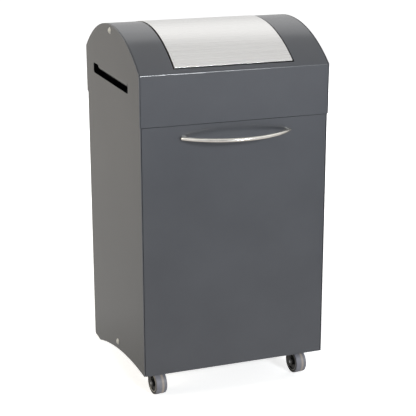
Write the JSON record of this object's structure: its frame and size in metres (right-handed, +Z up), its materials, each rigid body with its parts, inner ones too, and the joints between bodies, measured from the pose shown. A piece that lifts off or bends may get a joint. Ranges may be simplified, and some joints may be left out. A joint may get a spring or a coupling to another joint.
{
  "type": "self-extinguishing recycling bin",
  "caption": "Sheet-steel recycling bin with an arched self-extinguishing hood, self-closing swing flap, tilt-out front, inner container and castors.",
  "frame": {"origin": "on the floor, at the middle of the bounding box", "axes": "+Z up, the door and its handle face -Y, +X to the right of someone looking at the back, which is the right of the front view"},
  "size_m": [0.41, 0.462, 0.765],
  "materials": {
    "paint": "anthracite powder coat, satin",
    "stainless": "brushed stainless steel",
    "galvanised": "galvanised sheet",
    "zinc": "zinc plated",
    "cap_plastic": "moulded, light grey",
    "wheel_plastic": "moulded, black with a light grey ring",
    "black_plastic": "moulded, black",
    "tyre": "grey rubber tread",
    "rubber": "black rubber"
  },
  "bodies": {
    "root": {"side_panel_left": "paint", "side_panel_right": "paint", "back_panel": "paint", "base_plate": "paint", "door_stop_rails": "paint", "top_frame": "paint", "hood_shell": "paint", "hood_side_left": "paint", "hood_side_right": "paint", "hood_nuts": "zinc", "cover_caps": "cap_plastic", "tie_rod": "zinc", "rod_screws": "zinc", "back_rivets": "zinc", "rear_glides": "black_plastic", "deflector": "galvanised", "hinge_brackets": "zinc", "hinge_pins": "zinc", "stay_guides": "black_plastic", "magnet_catches": "black_plastic", "door_bumpers": "rubber", "flap_axle": "zinc", "stop_collars": "zinc", "axle_spacers": "zinc", "castor_plates": "zinc", "castor_bolts": "zinc", "castor_kingpins": "zinc"},
    "flap": {"flap_panel": "stainless", "flap_hangers": "zinc", "hanger_rivets": "zinc", "flap_bushes": "cap_plastic", "flap_counterweight": "zinc", "counterweight_screws": "zinc", "flap_stop_pins": "rubber"},
    "door": {"door_panel": "paint", "door_stiffener": "galvanised", "handle_bar": "stainless", "handle_screws": "zinc", "hinge_plates": "zinc", "hinge_bushes": "cap_plastic", "stay_quadrants": "zinc", "strike_plates": "zinc", "bin_cradle": "galvanised", "inner_container": "galvanised", "container_grips": "zinc"},
    "castor_left": {"castor_fork_left": "black_plastic", "castor_axle_left": "zinc"},
    "castor_right": {"castor_fork_right": "black_plastic", "castor_axle_right": "zinc"},
    "wheel_left": {"wheel_core_left": "wheel_plastic", "wheel_tyre_left": "tyre"},
    "wheel_right": {"wheel_core_right": "wheel_plastic", "wheel_tyre_right": "tyre"}
  },
  "joints": [
    {"name": "flap_swing", "type": "hinge", "parent": "root", "child": "flap", "pos_m": [0, 0.027, 0.751], "axis": [1, 0, 0], "range_deg": [-40, 40]},
    {"name": "door_tilt", "type": "hinge", "parent": "root", "child": "door", "pos_m": [0, -0.1655, 0.071], "axis": [1, 0, 0], "range_deg": [0, 35]},
    {"name": "castor_swivel_left", "type": "hinge", "parent": "root", "child": "castor_left", "pos_m": [-0.16, -0.1105, 0.06], "axis": [0, 0, 1], "continuous": true},
    {"name": "castor_swivel_right", "type": "hinge", "parent": "root", "child": "castor_right", "pos_m": [0.16, -0.1105, 0.06], "axis": [0, 0, 1], "continuous": true},
    {"name": "wheel_roll_left", "type": "hinge", "parent": "castor_left", "child": "wheel_left", "pos_m": [-0.15791, -0.13039, 0.025], "axis": [0.9945, 0.1045, 0], "continuous": true},
    {"name": "wheel_roll_right", "type": "hinge", "parent": "castor_right", "child": "wheel_right", "pos_m": [0.16209, -0.13039, 0.025], "axis": [0.9945, 0.1045, 0], "continuous": true}
  ]
}
